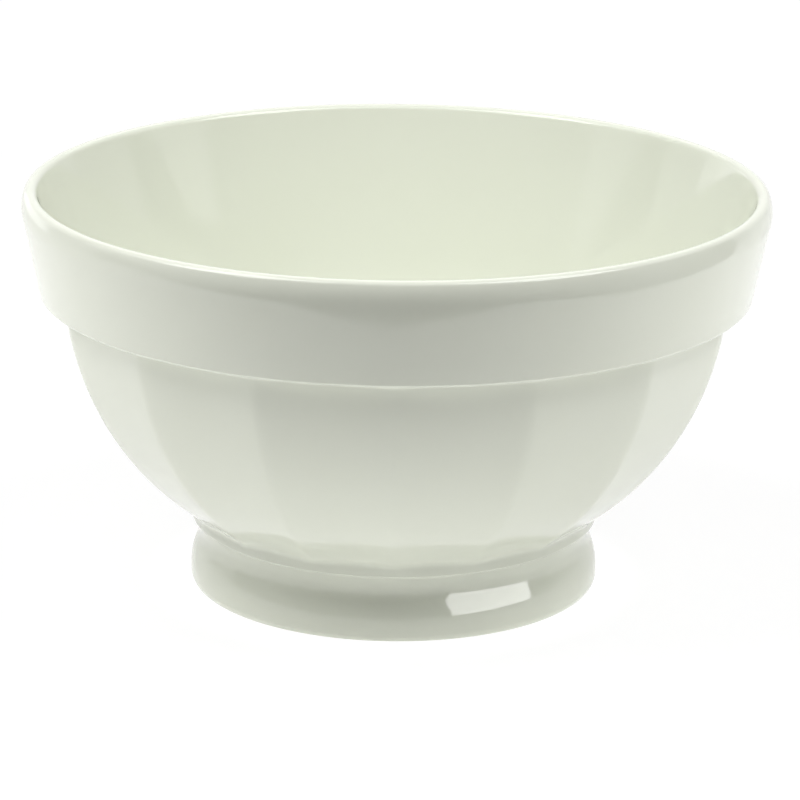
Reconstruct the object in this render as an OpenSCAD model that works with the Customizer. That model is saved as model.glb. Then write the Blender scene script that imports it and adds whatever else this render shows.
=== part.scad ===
// Footed cafe au lait bowl in white glazed porcelain.
// The origin is the centre of the standing ring, and +Z points up along the bowl's axis.
// Sizes are those of the finished, glazed surface. The fired clay lies one coat of glaze inside it.

/* [Rim] */
// Widest diameter, across the lip
rim_d = 140; // [134:0.5:146]
// Height of the lip's crest above the table
bowl_h = 77; // [72:0.2:83]
// Width of the lip from its inner to its outer edge
lip_w = 3.05; // [2.8:0.05:3.6]
// Rounding of the lip's crest
lip_round_r = 1.3; // [1:0.05:1.35]
// Radius of the curve in which the lip falls from its crest to the collar
lip_side_r = 6; // [4:0.5:8]

/* [Collar] */
// Height of the smooth collar, from its lower edge to the lip's crest
collar_h = 19.4; // [16:0.2:23]
// How far the collar's lower edge stands in from the widest diameter
collar_taper = 2.75; // [1.6:0.05:3.6]
// Rounding of the collar's lower edge
collar_edge_r = 0.9; // [0.7:0.05:1.3]
// How far the collar stands out over the top of the facet edges
ledge_w = 2.5; // [1.9:0.05:3.2]

/* [Facets] */
// Number of facets round the wall
facets = 16; // [14:2:20]
// Radius of the curve that each facet follows from the collar down to the base
facet_sweep_r = 61.6; // [57:0.2:70]

/* [Wall] */
// Thickness of the wall at the middle of a facet
wall_t = 3.8; // [3.2:0.1:4.6]
// Thickness of the floor over the foot's hollow
floor_t = 5.2; // [4.2:0.1:6.5]
// Radius of the curve between floor and wall inside
floor_round_r = 25; // [18:0.5:30]

/* [Base] */
// Diameter of the round band that the facets run out on
base_d = 77.3; // [74:0.1:80]
// Height of the round band below the facet edges
base_band_h = 2.3; // [1.8:0.1:3]
// How far the band stands out over the neck under it
base_step = 0.7; // [0.5:0.05:1]
// How far the base narrows under the band, down to the foot
base_undercut = 1.65; // [1:0.05:2.2]
// Height of that narrowing
base_undercut_h = 3.55; // [2.8:0.05:4.4]

/* [Foot] */
// How far the foot stands out from the joint where it is stuck to the bowl
foot_flare = 1.9; // [1.4:0.05:2.4]
// Height of the foot, up to that joint
foot_h = 9.15; // [8:0.05:11]
// Width of the foot's wall near the table
foot_w = 4.6; // [4.1:0.1:5.6]
// Rounding of the foot's outer edge at the table
foot_edge_r = 2; // [1.6:0.1:2.4]
// Height above the table at which the foot is widest
foot_belly_z = 2.8; // [2.4:0.1:3.6]
// Radius of the curve that the foot's outside follows from there up to the joint
foot_belly_r = 12; // [10:0.5:16]
// Rounding of the foot's inner edge at the table
well_edge_r = 1; // [0.6:0.1:1.2]
// How much the foot's hollow narrows towards its ceiling, on the radius
well_taper = 0.8; // [0.4:0.1:1.4]

/* [Slip and glaze] */
// Thickness of the slip that sticks the foot to the bowl
slip_t = 0.5; // [0.4:0.05:0.8]
// Thickness of the glaze
glaze_t = 0.3; // [0.2:0.05:0.45]
// Height of the bare clay between the table and the outer glaze
bare_h = 0.5; // [0.4:0.05:0.9]
// Height of the bare clay between the table and the glaze in the foot's hollow
well_bare_h = 1.4; // [1.3:0.1:2.2]

/* [Hidden] */
$fn = 192;
porcelain_colour = [0.93, 0.92, 0.88];
slip_colour = [0.86, 0.84, 0.79];
glaze_colour = [0.95, 0.96, 0.9];

// How far a cutting shape runs past what it cuts
overrun = 1;
// How far a straight stretch lies under the rounds that it runs into
tuck = 0.02;
// How many degrees a round stretch runs on under what it runs into
lap_angle = 10;

// Radii
rim_r = rim_d / 2;
collar_low_r = rim_r - collar_taper;
facet_top_r = collar_low_r - ledge_w;
base_r = base_d / 2;
neck_r = base_r - base_step;
crease_r = base_r - base_undercut;
foot_r = crease_r + foot_flare;
well_low_r = foot_r - foot_w;
well_top_r = well_low_r - well_taper;

// A facet's middle lies nearer the axis than its edges, by this ratio
facet_ratio = cos(180 / facets);

// Levels above the table
ledge_z = bowl_h - collar_h;
foot_top_z = foot_h - slip_t / 2;
base_z = foot_h + slip_t / 2;
band_low_z = foot_h + base_undercut_h;
band_top_z = band_low_z + base_band_h;
// The band ends inside the wall, above where it shows at the middle of a facet
band_run_z = band_top_z + 2 * base_r * (1 - facet_ratio);
// The inner and the outer coat of glaze meet halfway up the clay's rounding of the lip's crest
coat_join_z = bowl_h - lip_round_r + (lip_round_r - glaze_t) / 2;

// Section points are [radius, height]. The facet's curve is an arc through the middle of a facet.
facet_foot = [base_r * facet_ratio, band_top_z];
facet_head = [facet_top_r * facet_ratio, ledge_z];
sweep_c = arc_centre(facet_foot, facet_head, facet_sweep_r);
wall_sweep_r = facet_sweep_r - wall_t;
// Lowest floor at which the wall's curve still runs into the floor
least_floor_z = sweep_c[1] - wall_sweep_r + tuck;

// Centres of the roundings of lip and collar. The crest's round stands a tuck out of the lip's side curve.
lip_crest_c = [rim_r - lip_w + lip_round_r, bowl_h - lip_round_r];
lip_side_in = lip_crest_c[0] - (rim_r - lip_side_r);
lip_side_drop = sqrt(max((lip_side_r - lip_round_r + tuck) ^ 2 - lip_side_in ^ 2, 0));
lip_side_c = lip_crest_c - [lip_side_in, lip_side_drop];
collar_edge_c = [collar_low_r - collar_edge_r, ledge_z + collar_edge_r];
// Angle that the straight inner wall faces, from the curved wall up to the lip
throat_angle = cross_normal(sweep_c, wall_sweep_r - tuck, lip_crest_c, lip_round_r - tuck);

// Floor inside, and the centre of the curve between floor and wall
floor_z = max(base_z - glaze_t + floor_t, least_floor_z);
floor_round_z = floor_z + floor_round_r;
floor_round_c = [
    sweep_c[0] + sqrt((wall_sweep_r + tuck - floor_round_r) ^ 2 - (sweep_c[1] - floor_round_z) ^ 2),
    floor_round_z
];
// Angle at which that curve meets the wall's curve
floor_round_angle = angle_of(floor_round_c - sweep_c);

// Centres of the foot's curves
foot_edge_c = [foot_r - foot_edge_r, foot_edge_r - glaze_t];
foot_belly_c = [foot_r - foot_belly_r, foot_belly_z];
well_edge_c = [well_low_r + well_edge_r, well_edge_r];

// Point at a distance and angle from the origin
function polar(r, angle) = r * [cos(angle), sin(angle)];

// Angle of a vector
function angle_of(v) = atan2(v[1], v[0]);

// Centre of the arc of radius r through p and q, on the left of the way from p to q
function arc_centre(p, q, r) =
    let (way = q - p, half = norm(way) / 2)
    (p + q) / 2 + sqrt(r ^ 2 - half ^ 2) * [-way[1], way[0]] / norm(way);

// Angle faced by the line that touches two circles on the right of the way from p to q
function outer_normal(p, p_r, q, q_r) = angle_of(q - p) - acos((p_r - q_r) / norm(q - p));

// The same for the line that passes p's circle on its right and q's circle on its left
function cross_normal(p, p_r, q, q_r) = angle_of(q - p) - acos((p_r + q_r) / norm(q - p));

// Disc about a section point
module disc(centre, r) {
    translate(centre)
        circle(r);
}

// Slice of a disc between two angles less than 120 degrees apart
module disc_slice(centre, r, from_angle, to_angle) {
    intersection() {
        disc(centre, r);
        polygon([centre, centre + polar(2 * r, from_angle), centre + polar(2 * r, to_angle)]);
    }
}

// In the modules below, coat is the depth under the glazed surface: nothing for the
// finished bowl, and glaze_t for the clay.

// Section of lip and collar. Below the level where the coats meet it is filled to the axis.
module collar_section(coat) {
    crest_r = lip_round_r - coat;
    side_r = lip_side_r - coat;
    edge_r = collar_edge_r - coat;
    collar_faces = outer_normal(collar_edge_c, edge_r, lip_side_c, side_r);
    crest_angle = angle_of(lip_crest_c - lip_side_c);
    polygon([
        [0, ledge_z + coat],
        [collar_edge_c[0], ledge_z + coat],
        collar_edge_c + polar(edge_r - tuck, collar_faces),
        lip_side_c + polar(side_r - tuck, collar_faces),
        lip_crest_c + polar(crest_r - 2 * tuck, crest_angle),
        [lip_crest_c[0], coat_join_z],
        [0, coat_join_z]
    ]);
    disc(collar_edge_c, edge_r);
    disc_slice(lip_side_c, side_r, collar_faces - lap_angle, crest_angle);
    disc(lip_crest_c, crest_r);
}

// Section of the base under the facets, filled to the axis
module base_section(coat) {
    polygon([
        [0, base_z],
        [crease_r - coat, base_z],
        [neck_r - coat, band_low_z + coat],
        [base_r - coat, band_low_z + coat],
        [base_r - coat, band_run_z],
        [0, band_run_z]
    ]);
}

// Section of the foot's outside and the slip on it, filled to the axis. The slip's
// stretch runs up into the base.
module foot_section(coat) {
    edge_r = foot_edge_r - coat;
    polygon([
        [0, foot_edge_c[1] - edge_r],
        foot_edge_c - [0, edge_r],
        foot_edge_c + [edge_r, 0],
        [foot_r - coat, foot_belly_z],
        [0, foot_belly_z]
    ]);
    disc_slice(foot_edge_c, edge_r, -90, 0);
    intersection() {
        disc(foot_belly_c, foot_belly_r - coat);
        translate([foot_belly_c[0], foot_belly_z])
            square([foot_belly_r, foot_top_z + glaze_t - coat - foot_belly_z]);
    }
    translate([0, foot_belly_z])
        square([crease_r - coat, band_low_z - foot_belly_z]);
}

// Section of the space inside the bowl, up to the level where the coats meet
module cavity_section(coat) {
    wall_r = wall_sweep_r + coat;
    round_r = floor_round_r + coat;
    crest_r = lip_round_r - coat;
    difference() {
        intersection() {
            union() {
                polygon([
                    [0, floor_z - coat],
                    [floor_round_c[0], floor_z - coat],
                    floor_round_c + polar(round_r - tuck, floor_round_angle),
                    sweep_c + polar(wall_r - tuck, throat_angle),
                    lip_crest_c - polar(crest_r - tuck, throat_angle),
                    lip_crest_c,
                    [lip_crest_c[0], coat_join_z],
                    [0, coat_join_z]
                ]);
                disc_slice(floor_round_c, round_r, -90, floor_round_angle + lap_angle);
                disc_slice(sweep_c, wall_r, floor_round_angle, throat_angle + lap_angle);
            }
            square([rim_r, bowl_h]);
        }
        disc(lip_crest_c, crest_r);
    }
}

// Bar whose two curved sides are opposite facets
module facet_pair(coat) {
    rotate([90, 0, 0])
        linear_extrude(2 * rim_d, center = true)
            for (side = [0, 1])
                mirror([side, 0])
                    intersection() {
                        disc(sweep_c, facet_sweep_r - coat);
                        translate([-overrun, band_low_z])
                            square([rim_d, ledge_z + collar_edge_r - band_low_z]);
                    }
}

// Faceted wall, filled to the axis, with an edge towards the front
module faceted_wall(coat) {
    intersection_for (i = [0 : facets / 2 - 1])
        rotate((i + 0.5) * 360 / facets)
            facet_pair(coat);
}

// Everything inside the bowl's outer surface, without the foot
module filled_bowl(coat) {
    rotate_extrude()
        collar_section(coat);
    faceted_wall(coat);
    rotate_extrude()
        base_section(coat);
}

// Moulded bowl: lip, collar, faceted wall and base, without glaze
module bowl_body() {
    color(porcelain_colour)
        difference() {
            filled_bowl(glaze_t);
            rotate_extrude()
                cavity_section(glaze_t);
        }
}

// Hollow foot that stands on the table with a bare, flat ring
module foot_ring() {
    color(porcelain_colour)
        rotate_extrude() {
            difference() {
                foot_section(glaze_t);
                translate([0, foot_top_z])
                    square([foot_r, band_low_z]);
                polygon([
                    [0, -overrun],
                    [well_edge_c[0], -overrun],
                    well_edge_c - [0, well_edge_r],
                    well_edge_c - [well_edge_r, 0],
                    [well_top_r, foot_top_z],
                    [well_top_r, foot_h + overrun],
                    [0, foot_h + overrun]
                ]);
            }
            disc_slice(well_edge_c, well_edge_r, 180, 270);
        }
}

// Thin ring of slip in the joint between bowl and foot
module slip_seam() {
    color(slip_colour)
        translate([0, 0, foot_top_z])
            rotate_extrude()
                translate([well_top_r, 0])
                    square([crease_r - glaze_t - well_top_r, slip_t]);
}

// Poured coat inside the bowl, up to the lip
module inner_glaze() {
    color(glaze_colour)
        rotate_extrude()
            difference() {
                cavity_section(glaze_t);
                cavity_section(0);
            }
}

// Dipped coat over the lip and down the outside of bowl and foot
module outer_glaze() {
    color(glaze_colour)
        difference() {
            union() {
                filled_bowl(0);
                rotate_extrude()
                    foot_section(0);
            }
            filled_bowl(glaze_t);
            rotate_extrude()
                foot_section(glaze_t);
            translate([0, 0, bare_h - foot_h])
                cylinder(h = foot_h, r = rim_r);
        }
}

// Coat on the ceiling and wall of the foot's hollow
module foot_well_glaze() {
    bare_share = (well_bare_h - well_edge_r) / (foot_top_z - well_edge_r);
    bare_r = well_low_r - well_taper * bare_share;
    color(glaze_colour)
        rotate_extrude()
            polygon([
                [0, base_z],
                [well_top_r, base_z],
                [well_top_r, foot_top_z],
                [bare_r, well_bare_h],
                [bare_r - glaze_t, well_bare_h],
                [well_top_r - glaze_t, foot_top_z],
                [well_top_r - glaze_t, base_z - glaze_t],
                [0, base_z - glaze_t]
            ]);
}

bowl_body();
foot_ring();
slip_seam();
inner_glaze();
outer_glaze();
foot_well_glaze();
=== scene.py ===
"""A latte bowl in white glazed porcelain: smooth collar, faceted wall and a stuck-on foot."""

import math

import bmesh
import bpy
from mathutils import Matrix, Vector


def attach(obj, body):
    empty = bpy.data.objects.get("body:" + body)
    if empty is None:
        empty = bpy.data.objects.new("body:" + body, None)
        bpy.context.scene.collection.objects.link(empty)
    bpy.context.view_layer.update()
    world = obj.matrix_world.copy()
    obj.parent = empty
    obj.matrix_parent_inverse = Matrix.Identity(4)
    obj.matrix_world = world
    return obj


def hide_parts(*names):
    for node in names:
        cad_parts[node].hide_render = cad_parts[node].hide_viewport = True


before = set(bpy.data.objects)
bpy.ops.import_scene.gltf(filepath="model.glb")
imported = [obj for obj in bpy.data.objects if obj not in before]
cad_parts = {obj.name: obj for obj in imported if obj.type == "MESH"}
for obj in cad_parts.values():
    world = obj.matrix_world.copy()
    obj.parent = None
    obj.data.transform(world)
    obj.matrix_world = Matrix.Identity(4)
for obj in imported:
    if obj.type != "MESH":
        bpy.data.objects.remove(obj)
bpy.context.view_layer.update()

# Sizes of the glazed bowl in metres. Section points are (distance from the axis, height).

MM = 0.001
FACETS = 16
HALF_FACET = math.pi / FACETS
FACET_RATIO = math.cos(HALF_FACET)

RIM_R = 70 * MM
BOWL_H = 77 * MM
LIP_W = 3.05 * MM
LIP_ROUND_R = 1.3 * MM
LIP_SIDE_R = 6 * MM
LEDGE_Z = 57.6 * MM
COLLAR_LOW_R = 67.25 * MM
COLLAR_EDGE_R = 0.9 * MM
FACET_TOP_R = 64.75 * MM
FACET_SWEEP_R = 61.6 * MM
WALL_T = 3.8 * MM
FLOOR_Z = 14.3 * MM
FLOOR_ROUND_R = 25 * MM
BASE_R = 38.65 * MM
BAND_TOP_Z = 15 * MM
BAND_LOW_Z = 12.7 * MM
CREASE_R = 37 * MM
CREASE_Z = 9.2 * MM
NECK_R = 37.95 * MM
FOOT_R = 38.9 * MM
FOOT_EDGE_R = 2 * MM
FOOT_EDGE_Z = 1.7 * MM
FOOT_BELLY_R = 12 * MM
FOOT_BELLY_Z = 2.8 * MM
BARE_Z = 0.5 * MM
WELL_LOW_R = 34.3 * MM
WELL_TOP_R = 33.5 * MM
WELL_TAPER_LOW_Z = 1 * MM
WELL_TAPER_TOP_Z = 8.9 * MM
WELL_BARE_Z = 1.4 * MM
WELL_CEILING_Z = 9.1 * MM
GLAZE_T = 0.3 * MM

# How far glaze rounds the corners that it runs over or gathers in
LEDGE_POOL_R = 1.6 * MM
BAND_EDGE_R = 0.45 * MM
CREASE_POOL_R = 5 * MM
WELL_POOL_R = 1.5 * MM
NECK_CORNER = 0.1 * MM
# How softly the facets run out on the round band
RUN_OUT = 0.5 * MM
# Part of a facet, on each side of an edge, that glaze rounds
EDGE_SOFTNESS = math.radians(1.15)
# Inner and outer coat meet this far below the lip's inner rounding
JOIN_DROP = 0.6 * MM

# Fineness of the meshes. Each stretch of a section is drawn in so many steps.
COLUMNS_PER_FACET = 28
WELL_COLUMNS = 12 * FACETS
STEPS = {
    "join": 2, "crest": 12, "lip_side": 6, "collar": 6, "collar_edge": 7, "ledge_pool": 5, "facets": 16,
    "run_out": 22, "band_edge": 4, "crease_pool": 8, "belly": 8, "foot_edge": 5,
    "floor": 6, "floor_round": 16, "inner_wall": 16, "throat": 10,
    "well_ceiling": 8, "well_pool": 8, "well_wall": 6,
}
# Between these heights the steps are fine, because the facets run out there
FINE_TOP_Z = BAND_TOP_Z + 4 * MM
FINE_LOW_Z = BAND_TOP_Z - 1.1 * MM
# Two rows close under the neck's corner, as parts of the neck
NECK_ROWS = (1 / 20, 1 / 10)
# Places and turns that differ by less than this are the same, and vertices this close are merged
SAME_PLACE = MM / 100
SAME_TURN = 0.001
MERGED = MM / 200
# Kept between what a test accepts and what it refuses
MARGIN = MM / 10
# Faces that meet at a smaller angle are shaded as one surface
SMOOTH_ANGLE = math.radians(40)
# Places that see the outside, the inside and the foot's hollow
IN_FRONT = (0, -1, LEDGE_Z)
ABOVE = (0, 0, BOWL_H)
BELOW = (0, 0, -BOWL_H)


# Geometry of the section

def polar(centre, radius, angle):
    return (centre[0] + radius * math.cos(angle), centre[1] + radius * math.sin(angle))


def arc(centre, radius, start, end, steps):
    return [polar(centre, radius, start + (end - start) * i / steps) for i in range(steps + 1)]


def straight(start, end, steps):
    return [tuple(a + (b - a) * i / steps for a, b in zip(start, end)) for i in range(steps + 1)]


def touching_line(p, p_r, q, q_r):
    """The angle faced by the line that touches two circles on the right of the way from p to q."""
    way = Vector(q) - Vector(p)
    return math.atan2(way.y, way.x) - math.acos((p_r - q_r) / way.length)


def facet_curve_centre():
    """The centre of the arc that the middle of a facet follows."""
    foot = Vector((BASE_R * FACET_RATIO, BAND_TOP_Z))
    head = Vector((FACET_TOP_R * FACET_RATIO, LEDGE_Z))
    way = head - foot
    rise = math.sqrt(FACET_SWEEP_R ** 2 - (way.length / 2) ** 2)
    return tuple((foot + head) / 2 + rise * Vector((-way.y, way.x)).normalized())


SWEEP_C = facet_curve_centre()
WALL_SWEEP_R = FACET_SWEEP_R - WALL_T
LIP_CREST_C = (RIM_R - LIP_W + LIP_ROUND_R, BOWL_H - LIP_ROUND_R)
LIP_SIDE_IN = LIP_CREST_C[0] - (RIM_R - LIP_SIDE_R)
LIP_SIDE_C = (
    LIP_CREST_C[0] - LIP_SIDE_IN,
    LIP_CREST_C[1] - math.sqrt((LIP_SIDE_R - LIP_ROUND_R) ** 2 - LIP_SIDE_IN ** 2),
)
COLLAR_EDGE_C = (COLLAR_LOW_R - COLLAR_EDGE_R, LEDGE_Z + COLLAR_EDGE_R)
FOOT_BELLY_C = (FOOT_R - FOOT_BELLY_R, FOOT_BELLY_Z)
FOOT_EDGE_C = (FOOT_R - FOOT_EDGE_R, FOOT_EDGE_Z)
FLOOR_ROUND_Z = FLOOR_Z + FLOOR_ROUND_R
FLOOR_ROUND_C = (
    SWEEP_C[0] + math.sqrt((WALL_SWEEP_R - FLOOR_ROUND_R) ** 2 - (SWEEP_C[1] - FLOOR_ROUND_Z) ** 2),
    FLOOR_ROUND_Z,
)

CREST_ENDS = math.atan2(LIP_CREST_C[1] - LIP_SIDE_C[1], LIP_SIDE_IN)
COLLAR_FACES = touching_line(COLLAR_EDGE_C, COLLAR_EDGE_R, LIP_SIDE_C, LIP_SIDE_R)
THROAT_FACES = touching_line(SWEEP_C, WALL_SWEEP_R, LIP_CREST_C, -LIP_ROUND_R)
THROAT = polar(SWEEP_C, WALL_SWEEP_R, THROAT_FACES)
LIP_STARTS = polar(LIP_CREST_C, LIP_ROUND_R, THROAT_FACES + math.pi)

# The wall's share of the outside: what lies between these heights, and nearer the axis than the collar
WALL_LOW_Z = BAND_TOP_Z - 1.5 * MM
WALL_TOP_Z = LEDGE_Z + MARGIN
WALL_MAX_R = COLLAR_EDGE_C[0] - MARGIN
# Below this height the band takes over from the facets
RUN_OUT_TOP_Z = BAND_TOP_Z + 5 * MM


def below_lip(drop):
    """The point on the straight inner wall that far below the lip's rounding."""
    way = (Vector(THROAT) - Vector(LIP_STARTS)).normalized()
    return tuple(Vector(LIP_STARTS) + drop * way)


def pool_centre(neck_top, neck_faces):
    """The centre of the pool that touches the neck and the foot's bulging side from outside."""
    on_neck = neck_top + CREASE_POOL_R * Vector((math.cos(neck_faces), math.sin(neck_faces)))
    way = Vector((math.sin(neck_faces), -math.cos(neck_faces)))
    from_belly = on_neck - Vector(FOOT_BELLY_C)
    along = from_belly.dot(way)
    reach = FOOT_BELLY_R + CREASE_POOL_R
    back = along + math.sqrt(along ** 2 + reach ** 2 - from_belly.length_squared)
    return tuple(on_neck - way * back)


def edge_curve(height):
    """Distance from the axis to an edge between two facets."""
    across = math.sqrt(FACET_SWEEP_R ** 2 - (height - SWEEP_C[1]) ** 2)
    return (SWEEP_C[0] + across) / FACET_RATIO


def larger(a, b, softness):
    """The larger of two lengths, with the corner between them rounded."""
    return (a + b + math.sqrt((a - b) ** 2 + (2 * softness) ** 2)) / 2


def facet_share(turn):
    """The wall's distance from the axis at that turn from a facet's middle, as a share of an edge's."""
    from_edge = HALF_FACET - abs(turn)
    if from_edge < EDGE_SOFTNESS:
        slope = math.tan(HALF_FACET)
        return 1 - slope * (EDGE_SOFTNESS / 2 + from_edge ** 2 / (2 * EDGE_SOFTNESS))
    return FACET_RATIO / math.cos(turn)


def without_doubles(points):
    """Leaves out each point that lies on the one before."""
    kept = points[:1]
    for point in points[1:]:
        if math.dist(point, kept[-1]) > SAME_PLACE:
            kept.append(point)
    return kept


# Modelling

def select_where(piece, wanted):
    """Selects the vertices whose places the test accepts, and nothing else."""
    bpy.ops.mesh.select_mode(type="VERT")
    bpy.ops.mesh.select_all(action="DESELECT")
    mesh = bmesh.from_edit_mesh(piece.data)
    for vertex in mesh.verts:
        vertex.select = wanted(vertex.co)
    mesh.select_flush(True)
    bmesh.update_edit_mesh(piece.data)


def draw_section(name, points):
    """Draws a section towards -Y as a line of edges, point by point, and leaves it in edit mode."""
    bpy.ops.object.select_all(action="DESELECT")
    bpy.ops.mesh.primitive_plane_add(size=MM)
    piece = bpy.context.object
    piece.name = piece.data.name = name
    bpy.ops.object.mode_set(mode="EDIT")
    bpy.ops.mesh.select_all(action="SELECT")
    bpy.ops.mesh.merge(type="CENTER")
    out, up = points[0]
    bpy.ops.transform.translate(value=(0, -out, up))
    for (out, up), (next_out, next_up) in zip(points, points[1:]):
        bpy.ops.mesh.extrude_vertices_move(
            TRANSFORM_OT_translate={"value": (0, out - next_out, next_up - up)})
    bpy.ops.mesh.select_all(action="SELECT")
    return piece


def turn_on_wheel(steps, angle=2 * math.pi):
    """Spins the selected section about the axis."""
    bpy.ops.mesh.spin(steps=steps, angle=angle, center=(0, 0, 0), axis=(0, 0, 1))
    bpy.ops.mesh.select_all(action="SELECT")
    bpy.ops.mesh.remove_doubles(threshold=MERGED)


def face_outwards(piece, shows):
    """Makes all faces look the same way, so that the face nearest to the point looks towards it."""
    bpy.ops.mesh.select_all(action="SELECT")
    bpy.ops.mesh.normals_make_consistent(inside=False)
    mesh = bmesh.from_edit_mesh(piece.data)
    eye = Vector(shows)
    nearest = min(mesh.faces, key=lambda face: (face.calc_center_median() - eye).length)
    if nearest.normal.dot(eye - nearest.calc_center_median()) < 0:
        bpy.ops.mesh.flip_normals()


def thicken(piece, thickness):
    """Leaves edit mode and gives a sheet its thickness, on the side away from where it faces."""
    bpy.ops.object.mode_set(mode="OBJECT")
    coat = piece.modifiers.new("coat", "SOLIDIFY")
    coat.thickness = thickness
    coat.offset = -1
    bpy.ops.object.modifier_apply(modifier=coat.name)


def finish_piece(piece, slot, material, *nodes):
    """Smooths the shading, gives the finish and puts the piece in the frame in place of the nodes."""
    bpy.ops.object.shade_smooth_by_angle(angle=SMOOTH_ANGLE)
    piece.data.materials.clear()
    piece.data.materials.append(material)
    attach(piece, "root")
    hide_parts(*nodes)


def outside_section():
    """From the join under the lip, over the lip, down collar, facet edge, band and foot."""
    ledge_pool_z = LEDGE_Z - LEDGE_POOL_R
    wall_top_r = edge_curve(ledge_pool_z)
    wall_faces = math.asin((ledge_pool_z - SWEEP_C[1]) / FACET_SWEEP_R)
    ledge_pool_c = (wall_top_r + LEDGE_POOL_R * math.cos(wall_faces), ledge_pool_z)
    fine_faces = math.asin((FINE_TOP_Z - SWEEP_C[1]) / FACET_SWEEP_R)
    band_c = (BASE_R - BAND_EDGE_R, BAND_LOW_Z + BAND_EDGE_R)
    neck_top = Vector((NECK_R, BAND_LOW_Z))
    neck = Vector((CREASE_R, CREASE_Z)) - neck_top
    neck_faces = math.atan2(neck.y, neck.x) + math.pi / 2
    # The pool of glaze in the crease touches the neck and the foot's bulging side
    crease_pool_c = pool_centre(neck_top, neck_faces)
    foot_faces = math.atan2(crease_pool_c[1] - FOOT_BELLY_Z, crease_pool_c[0] - FOOT_BELLY_C[0])
    bare_faces = math.asin((BARE_Z - FOOT_EDGE_Z) / FOOT_EDGE_R)

    points = straight(below_lip(JOIN_DROP), LIP_STARTS, STEPS["join"])
    points += arc(LIP_CREST_C, LIP_ROUND_R, THROAT_FACES + math.pi, CREST_ENDS, STEPS["crest"])
    points += arc(LIP_SIDE_C, LIP_SIDE_R, CREST_ENDS, COLLAR_FACES, STEPS["lip_side"])
    collar_ends = polar(COLLAR_EDGE_C, COLLAR_EDGE_R, COLLAR_FACES)
    points += straight(points[-1], collar_ends, STEPS["collar"])
    points += arc(COLLAR_EDGE_C, COLLAR_EDGE_R, COLLAR_FACES, -math.pi / 2, STEPS["collar_edge"])
    points += arc(ledge_pool_c, LEDGE_POOL_R, math.pi / 2, math.pi + wall_faces, STEPS["ledge_pool"])
    facet_middle = arc(SWEEP_C, FACET_SWEEP_R, wall_faces, fine_faces, STEPS["facets"])
    fine_rows = straight((0, FINE_TOP_Z), (0, FINE_LOW_Z), STEPS["run_out"])
    heights = [height for _, height in facet_middle[1:] + fine_rows[1:]]
    points += [(larger(edge_curve(height), BASE_R, RUN_OUT), height) for height in heights]
    points += arc(band_c, BAND_EDGE_R, 0, -math.pi / 2, STEPS["band_edge"])
    points += [tuple(neck_top + Vector((NECK_CORNER, 0))), tuple(neck_top - Vector((0, NECK_CORNER)))]
    points += [tuple(neck_top + neck * part) for part in NECK_ROWS]
    points += arc(
        crease_pool_c, CREASE_POOL_R, math.pi + neck_faces, math.pi + foot_faces, STEPS["crease_pool"])
    points += arc(FOOT_BELLY_C, FOOT_BELLY_R, foot_faces, 0, STEPS["belly"])
    points += arc(FOOT_EDGE_C, FOOT_EDGE_R, 0, bare_faces, STEPS["foot_edge"])
    return without_doubles(points)


def on_wall(place, turn, height):
    """Whether a vertex of the first slice lies on the wall, at that height and turn from a facet's middle."""
    from_middle = abs(abs(math.atan2(place.x, -place.y)) - HALF_FACET)
    same_place = abs(place.z - height) < SAME_PLACE and abs(from_middle - turn) < SAME_TURN
    return same_place and math.hypot(place.x, place.y) < WALL_MAX_R


def press_facet(piece, points):
    """Presses one slice of the wall flat between two edges, and lets it run out on the band."""
    heights = sorted({z for r, z in points if WALL_LOW_Z < z < WALL_TOP_Z and r < WALL_MAX_R})
    for column in range(COLUMNS_PER_FACET // 2 + 1):
        turn = HALF_FACET * (1 - 2 * column / COLUMNS_PER_FACET)
        share = facet_share(turn)
        for height in heights:
            scale = share
            if height < RUN_OUT_TOP_Z:
                edge = edge_curve(height)
                scale = larger(edge * share, BASE_R, RUN_OUT) / larger(edge, BASE_R, RUN_OUT)
            select_where(piece, lambda place: on_wall(place, turn, height))
            bpy.ops.transform.resize(value=(scale, scale, 1), center_override=(0, 0, 0))


def glazed_outside(material):
    """The coat over the lip and down the outside. One facet is modelled and copied round."""
    points = outside_section()
    piece = draw_section("glazed_outside", points)
    turn_on_wheel(COLUMNS_PER_FACET, 2 * HALF_FACET)
    press_facet(piece, points)
    bpy.ops.mesh.select_all(action="SELECT")
    bpy.ops.mesh.spin(steps=FACETS, dupli=True, angle=2 * math.pi, center=(0, 0, 0), axis=(0, 0, 1))
    bpy.ops.mesh.select_all(action="SELECT")
    bpy.ops.mesh.remove_doubles(threshold=MERGED)
    face_outwards(piece, IN_FRONT)
    thicken(piece, GLAZE_T)
    finish_piece(piece, "glaze", material, "outer_glaze")


def glazed_inside(material):
    """The coat poured inside, from the floor's centre up to the join under the lip."""
    floor_round_ends = math.atan2(FLOOR_ROUND_C[1] - SWEEP_C[1], FLOOR_ROUND_C[0] - SWEEP_C[0])
    points = straight((0, FLOOR_Z), (FLOOR_ROUND_C[0], FLOOR_Z), STEPS["floor"])
    points += arc(FLOOR_ROUND_C, FLOOR_ROUND_R, -math.pi / 2, floor_round_ends, STEPS["floor_round"])
    points += arc(SWEEP_C, WALL_SWEEP_R, floor_round_ends, THROAT_FACES, STEPS["inner_wall"])
    points += straight(THROAT, below_lip(JOIN_DROP), STEPS["throat"])
    piece = draw_section("glazed_inside", without_doubles(points))
    turn_on_wheel(FACETS * COLUMNS_PER_FACET)
    face_outwards(piece, ABOVE)
    thicken(piece, GLAZE_T)
    finish_piece(piece, "glaze", material, "inner_glaze")


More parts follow.
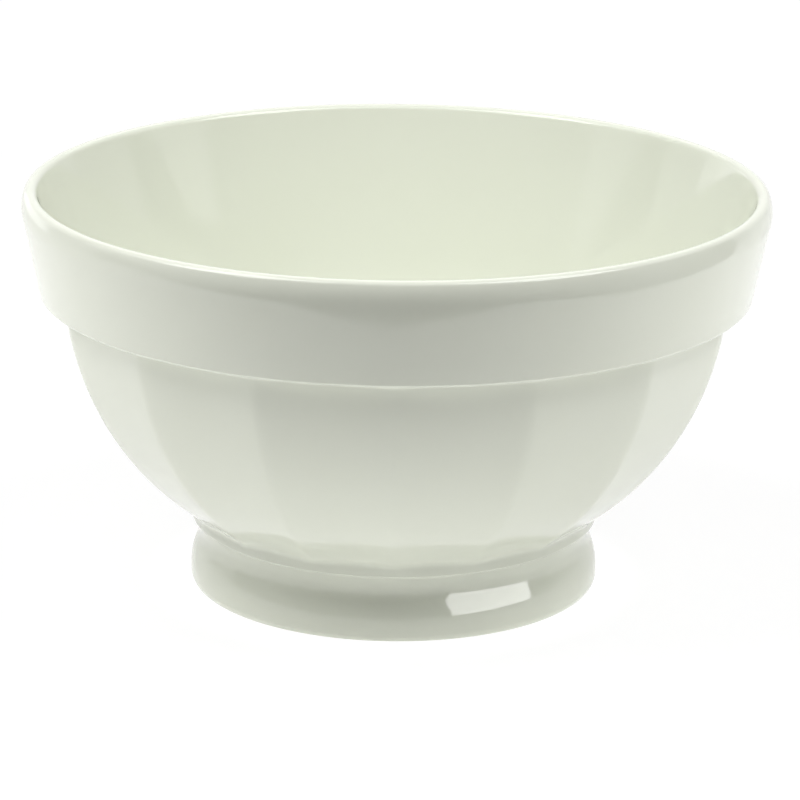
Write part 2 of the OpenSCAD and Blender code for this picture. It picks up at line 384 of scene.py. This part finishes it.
def glazed_foot_well(material):
    """The coat on the ceiling and wall of the foot's hollow."""
    taper = math.atan2(WELL_LOW_R - WELL_TOP_R, WELL_CEILING_Z)
    share = (WELL_BARE_Z - WELL_TAPER_LOW_Z) / (WELL_TAPER_TOP_Z - WELL_TAPER_LOW_Z)
    low = (WELL_LOW_R - (WELL_LOW_R - WELL_TOP_R) * share - GLAZE_T, WELL_BARE_Z)
    top_r = WELL_TOP_R - GLAZE_T
    pool_c = (top_r - WELL_POOL_R, WELL_CEILING_Z - WELL_POOL_R)
    points = straight((0, WELL_CEILING_Z), (pool_c[0], WELL_CEILING_Z), STEPS["well_ceiling"])
    points += arc(pool_c, WELL_POOL_R, math.pi / 2, taper, STEPS["well_pool"])
    points += straight(points[-1], low, STEPS["well_wall"])
    piece = draw_section("glazed_foot_well", without_doubles(points))
    turn_on_wheel(WELL_COLUMNS)
    face_outwards(piece, BELOW)
    thicken(piece, GLAZE_T)
    finish_piece(piece, "glaze", material, "foot_well_glaze")


# Materials

WHITE = (1, 1, 1, 1)
# Where the glaze is thick and where it is thin
GLAZE_TINTS = ((0.775, 0.800, 0.690, 1), (0.790, 0.815, 0.715, 1))
GLAZE_IOR = 1.5
GLAZE_ROUGHNESS = 0.045
GLAZE_ROUGHNESS_VARIES = 0.03
# Noise scales of the glaze's slow swell, of its orange peel and of its clouds of tint, and how many
# millimetres the first two rise
SWELL_SCALE = 38
PEEL_SCALE = 420
CLOUD_SCALE = 55
SWELL_RISE = 0.09
PEEL_RISE = 0.002
# Where the clay or slip is worn and where it is clean
CLAY_TINTS = ((0.66, 0.65, 0.60, 1), (0.78, 0.77, 0.72, 1))
SLIP_TINTS = ((0.60, 0.57, 0.50, 1), (0.70, 0.67, 0.59, 1))
CLAY_ROUGHNESS = 0.6
CLAY_ROUGHNESS_VARIES = 0.2
GRAIN_SCALE = 1500
GRAIN_STRENGTH = 0.6
GRAIN_RISE = 0.05 * MM
WEAR_SCALE = 160
# A Mix node has several sockets of one name, so its colours are found by number
MIX_COLOURS_IN = (6, 7)
MIX_COLOUR_OUT = 2


class Signal:
    """A socket in a material. Sums on signals add Math nodes."""

    def __init__(self, tree, socket=None):
        self.tree = tree
        self.socket = socket

    def node(self, kind, settings=None, inputs=None, output=0):
        """Adds a node, sets or links its inputs and returns the signal of one output."""
        made = self.tree.nodes.new(kind)
        for name, value in (settings or {}).items():
            setattr(made, name, value)
        for name, value in (inputs or {}).items():
            if isinstance(value, Signal):
                self.tree.links.new(value.socket, made.inputs[name])
            else:
                made.inputs[name].default_value = value
        return Signal(self.tree, made.outputs[output] if len(made.outputs) else None)

    def maths(self, operation, *values):
        return self.node("ShaderNodeMath", {"operation": operation}, dict(enumerate(values)))

    def fade(self, over, start, end):
        """Runs softly from the start value to the end value while the signal crosses the range."""
        return self.node("ShaderNodeMapRange", {"interpolation_type": "SMOOTHSTEP"}, {
            "Value": self, "From Min": over[0], "From Max": over[1], "To Min": start, "To Max": end})

    def noise(self, scale, detail):
        """Noise over the place that the signal stands for."""
        return self.node("ShaderNodeTexNoise", output="Fac", inputs={
            "Vector": self, "Scale": scale, "Detail": detail})

    def between(self, colours):
        """Mixes two colours by the signal."""
        inputs = dict(zip(MIX_COLOURS_IN, colours))
        return self.node("ShaderNodeMix", {"data_type": "RGBA"}, {"Factor": self, **inputs}, MIX_COLOUR_OUT)

    def __add__(self, other):
        return self.maths("ADD", self, other)

    def __sub__(self, other):
        return self.maths("SUBTRACT", self, other)

    def __mul__(self, other):
        return self.maths("MULTIPLY", self, other)


def new_material(name):
    material = bpy.data.materials.new(name)
    material.use_nodes = True
    material.node_tree.nodes.clear()
    return material, Signal(material.node_tree)


def glaze_finish():
    """Clear, slightly green-grey glaze over white clay, poured a little unevenly."""
    material, glaze = new_material("glaze")
    place = glaze.node("ShaderNodeTexCoord", output="Object")
    swell = place.noise(SWELL_SCALE, detail=1)
    peel = place.noise(PEEL_SCALE, detail=2)
    cloud = place.noise(CLOUD_SCALE, detail=3)
    tint = cloud.between(GLAZE_TINTS)
    waves = glaze.node("ShaderNodeBump", inputs={
        "Strength": 1, "Distance": MM, "Height": swell * SWELL_RISE + peel * PEEL_RISE})
    shader = glaze.node("ShaderNodeBsdfPrincipled", inputs={
        "Base Color": tint, "Roughness": cloud * GLAZE_ROUGHNESS_VARIES + GLAZE_ROUGHNESS,
        "IOR": GLAZE_IOR, "Normal": waves})
    glaze.node("ShaderNodeOutputMaterial", inputs={"Surface": shader})
    return material


def bare_clay_finish(name, tints):
    """Unglazed clay: matt, with a fine grain, and greyer where it is worn."""
    material, clay = new_material(name)
    place = clay.node("ShaderNodeTexCoord", output="Object")
    grain = place.noise(GRAIN_SCALE, detail=4)
    wear = place.noise(WEAR_SCALE, detail=5)
    tint = wear.between(tints)
    grit = clay.node("ShaderNodeBump", inputs={
        "Strength": GRAIN_STRENGTH, "Distance": GRAIN_RISE, "Height": grain})
    shader = clay.node("ShaderNodeBsdfPrincipled", inputs={
        "Base Color": tint, "Roughness": grain * CLAY_ROUGHNESS_VARIES + CLAY_ROUGHNESS, "Normal": grit})
    clay.node("ShaderNodeOutputMaterial", inputs={"Surface": shader})
    return material


# The pieces

glaze = glaze_finish()
bare_clay = bare_clay_finish("bare_clay", CLAY_TINTS)
slip = bare_clay_finish("slip", SLIP_TINTS)
glazed_outside(glaze)
glazed_inside(glaze)
glazed_foot_well(glaze)
for node, finish in (("bowl_body", bare_clay), ("foot_ring", bare_clay), ("slip_seam", slip)):
    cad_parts[node].data.materials.clear()
    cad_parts[node].data.materials.append(finish)


# Camera, floor and light, in metres

# The photograph's viewing angle: height above the horizon, distance, what it looks at, lens and tilt
CAMERA_RISE = math.radians(17.2)
CAMERA_DISTANCE = 700 * MM
CAMERA_TARGET = (0.93 * MM, 0, 34.79 * MM)
CAMERA_TILT = math.radians(0.6)
LENS = 165.7
SENSOR_W = 36
CLIP_START = 0.01
# The sheet of paper under and behind the bowl
SHEET_FRONT = -0.16
SHEET_BACK = 1
SHEET_BEND_R = 0.4
SHEET_BEND_STEPS = 12
SHEET_TOP = 1.4
SHEET_W = 3
PAPER_COLOUR = (0.9, 0.9, 0.9, 1)
# How bright the paper looks to the camera and in reflections, where 1 is white, and how much of that
# it owes to itself and not to the lamps, near the bowl and far from it
PAPER_WHITE = 1.02
PAPER_OWN_SHARE = 0.85
PAPER_OWN_SHARE_FAR = 1
# Light that comes through the paper from below: round the foot, in the bowl's shadow, round the
# shadow and far out, and the distances from the axis between which each gives way to the next
TABLE_LIGHT_FOOT = 0.5
TABLE_LIGHT_SHADE = 0.11
TABLE_LIGHT_ROUND = 1.05
TABLE_LIGHT_FAR = 0.1
FOOT_RADII = (0.04, 0.05)
SHADE_RADII = (0.09, 0.17)
FAR_RADII = (0.2, 0.36)
# How bright the room looks in the glaze, in front of the bowl and behind it
ROOM_IN_FRONT = 0.05
ROOM_BEHIND = 0.7
# Where the one gives way to the other, as the part of the way that a ray runs towards +Y
ROOM_EDGE = (0.17, 0.22)
BOX_DISTANCE = 0.9
# Name, azimuth and elevation in degrees, width and height, and how bright, where 1 is white
SOFT_BOXES = (
    ("left_box", -65, 57, 0.45, 0.5, 5),
    ("right_box", 65, 57, 0.45, 0.5, 5.6),
    ("left_side_box", -90, 57, 0.45, 0.5, 2),
    ("left_low_box", -90, 35, 0.55, 0.5, 0.6),
    ("right_low_box", 90, 35, 0.55, 0.5, 0.9),
    ("left_back_strip", -140, 8, 0.5, 0.3, 0.7),
    ("back_box", 180, 45, 0.6, 0.4, 0.6),
    ("top_box", 0, 75, 0.45, 0.4, 1.6),
)
# A bright card that shows in the foot's glaze. It has its own distance, after how bright it is.
FOOT_CARD = ("foot_card", 53, 16, 0.2, 0.12, 7, 0.23)
# A black flag that hides the card from the rim
FLAG_DISTANCE = 0.105
FLAG_LOW_Z = 0.048
FLAG_SIZE = (0.2, 0.06)
FLAG_COLOUR = (0.01, 0.01, 0.01, 1)


def set_camera():
    """From the front, a little above the rim."""
    back = Vector((0, -math.cos(CAMERA_RISE), math.sin(CAMERA_RISE)))
    data = bpy.data.cameras.new("camera")
    data.sensor_width = SENSOR_W
    data.lens = LENS
    data.clip_start = CLIP_START
    camera = bpy.data.objects.new("camera", data)
    bpy.context.scene.collection.objects.link(camera)
    turned = (-back).to_track_quat("-Z", "Y").to_matrix() @ Matrix.Rotation(CAMERA_TILT, 3, "Z")
    place = Vector(CAMERA_TARGET) + back * CAMERA_DISTANCE
    camera.matrix_world = Matrix.Translation(place) @ turned.to_4x4()
    bpy.context.scene.camera = camera


def ray_kinds(signal):
    """1 where the camera sees a surface, itself or in a mirror or through glass."""
    kinds = ("Is Camera Ray", "Is Glossy Ray", "Is Transmission Ray")
    camera, glossy, transmission = (signal.node("ShaderNodeLightPath", output=kind) for kind in kinds)
    return camera + glossy + transmission


def paper_finish():
    """White paper, lit by the lamps and from below. From above the camera sees it as bright as the
    background, but for a soft shadow. From below it looks through the paper, at the foot."""
    material, paper = new_material("paper_sweep")
    place = paper.node("ShaderNodeTexCoord", output="Object")
    radius = paper.node("ShaderNodeVectorMath", {"operation": "LENGTH"}, {0: place}, output="Value")
    table_light = radius.fade(FOOT_RADII, TABLE_LIGHT_FOOT, TABLE_LIGHT_SHADE)
    table_light += radius.fade(SHADE_RADII, 0, TABLE_LIGHT_ROUND - TABLE_LIGHT_SHADE)
    table_light += radius.fade(FAR_RADII, 0, TABLE_LIGHT_FAR - TABLE_LIGHT_ROUND)
    diffuse = paper.node("ShaderNodeBsdfDiffuse", inputs={"Color": PAPER_COLOUR})
    through = paper.node("ShaderNodeEmission", inputs={"Color": WHITE, "Strength": table_light})
    lit = paper.node("ShaderNodeAddShader", inputs={0: diffuse, 1: through})
    glow = paper.node("ShaderNodeEmission", inputs={"Color": WHITE, "Strength": PAPER_WHITE})
    own_share = radius.fade(FAR_RADII, PAPER_OWN_SHARE, PAPER_OWN_SHARE_FAR)
    seen = ray_kinds(paper) * own_share
    from_above = paper.node("ShaderNodeMixShader", inputs={"Fac": seen, 1: lit, 2: glow})
    below = paper.node("ShaderNodeNewGeometry", output="Backfacing")
    looks_from_below = below * paper.node("ShaderNodeLightPath", output="Is Camera Ray")
    clear = paper.node("ShaderNodeBsdfTransparent", inputs={"Color": WHITE})
    sheet = paper.node("ShaderNodeMixShader", inputs={"Fac": looks_from_below, 1: from_above, 2: clear})
    paper.node("ShaderNodeOutputMaterial", inputs={"Surface": sheet})
    return material


def lay_floor():
    """A sheet of white paper that ends in front of the bowl and sweeps up behind it."""
    bpy.ops.object.select_all(action="DESELECT")
    bpy.ops.mesh.primitive_plane_add(size=1)
    sweep = bpy.context.object
    sweep.name = "paper_sweep"
    bpy.ops.object.mode_set(mode="EDIT")
    bpy.ops.transform.resize(value=(SHEET_W, SHEET_BACK - SHEET_FRONT, 1))
    bpy.ops.transform.translate(value=(0, (SHEET_BACK + SHEET_FRONT) / 2, 0))
    select_where(sweep, lambda place: place.y > SHEET_BACK - MM)
    bend = arc((SHEET_BACK, SHEET_BEND_R), SHEET_BEND_R, -math.pi / 2, 0, SHEET_BEND_STEPS)
    bend.append((bend[-1][0], SHEET_TOP))
    for (back, up), (next_back, next_up) in zip(bend, bend[1:]):
        bpy.ops.mesh.extrude_edges_move(
            TRANSFORM_OT_translate={"value": (0, next_back - back, next_up - up)})
    bpy.ops.object.mode_set(mode="OBJECT")
    bpy.ops.object.shade_smooth()
    sweep.data.materials.append(paper_finish())


def soft_box(name, azimuth, elevation, width, height, strength, distance=BOX_DISTANCE):
    """A soft box aimed at the bowl. Azimuth runs from the camera's side towards +X."""
    turn, rise = math.radians(azimuth), math.radians(elevation)
    way = Vector((math.sin(turn) * math.cos(rise), -math.cos(turn) * math.cos(rise), math.sin(rise)))
    lamp = bpy.data.lights.new(name, "AREA")
    lamp.shape = "RECTANGLE"
    lamp.size, lamp.size_y = width, height
    lamp.energy = strength * math.pi * width * height
    box = bpy.data.objects.new(name, lamp)
    bpy.context.scene.collection.objects.link(box)
    box.visible_camera = False
    aimed = way.to_track_quat("Z", "Y").to_matrix().to_4x4()
    box.matrix_world = Matrix.Translation(way * distance) @ aimed
    return box


def hang_flag():
    """A black flag in front of the card, which only reflections notice."""
    turn = math.radians(FOOT_CARD[1])
    width, height = FLAG_SIZE
    bpy.ops.object.select_all(action="DESELECT")
    bpy.ops.mesh.primitive_plane_add(size=1)
    flag = bpy.context.object
    flag.name = "flag"
    bpy.ops.object.mode_set(mode="EDIT")
    bpy.ops.transform.resize(value=(width, height, 1))
    bpy.ops.transform.rotate(value=math.pi / 2, orient_axis="X", center_override=(0, 0, 0))
    bpy.ops.transform.translate(value=(0, -FLAG_DISTANCE, FLAG_LOW_Z + height / 2))
    bpy.ops.transform.rotate(value=-turn, orient_axis="Z", center_override=(0, 0, 0))
    bpy.ops.object.mode_set(mode="OBJECT")
    material, cloth = new_material("black_cloth")
    black = cloth.node("ShaderNodeBsdfDiffuse", inputs={"Color": FLAG_COLOUR})
    cloth.node("ShaderNodeOutputMaterial", inputs={"Surface": black})
    flag.data.materials.append(material)
    flag.visible_camera = False
    flag.visible_diffuse = False
    flag.visible_shadow = False


def light_scene():
    """A white background, a room that only the glaze shows, the soft boxes, the card and its flag."""
    world = bpy.data.worlds.new("studio")
    bpy.context.scene.world = world
    world.use_nodes = True
    world.node_tree.nodes.clear()
    sky = Signal(world.node_tree)
    seen = sky.node("ShaderNodeLightPath", output="Is Camera Ray")
    mirrored = ray_kinds(sky) - seen
    way = sky.node("ShaderNodeTexCoord", output="Object")
    back = sky.node("ShaderNodeSeparateXYZ", inputs={"Vector": way}, output="Y")
    strength = seen + mirrored * back.fade(ROOM_EDGE, ROOM_IN_FRONT, ROOM_BEHIND)
    background = sky.node("ShaderNodeBackground", inputs={"Color": WHITE, "Strength": strength})
    sky.node("ShaderNodeOutputWorld", inputs={"Surface": background})
    for box in SOFT_BOXES:
        soft_box(*box)
    soft_box(*FOOT_CARD).visible_diffuse = False
    hang_flag()


set_camera()
lay_floor()
light_scene()

bpy.context.scene.view_settings.view_transform = "Standard"
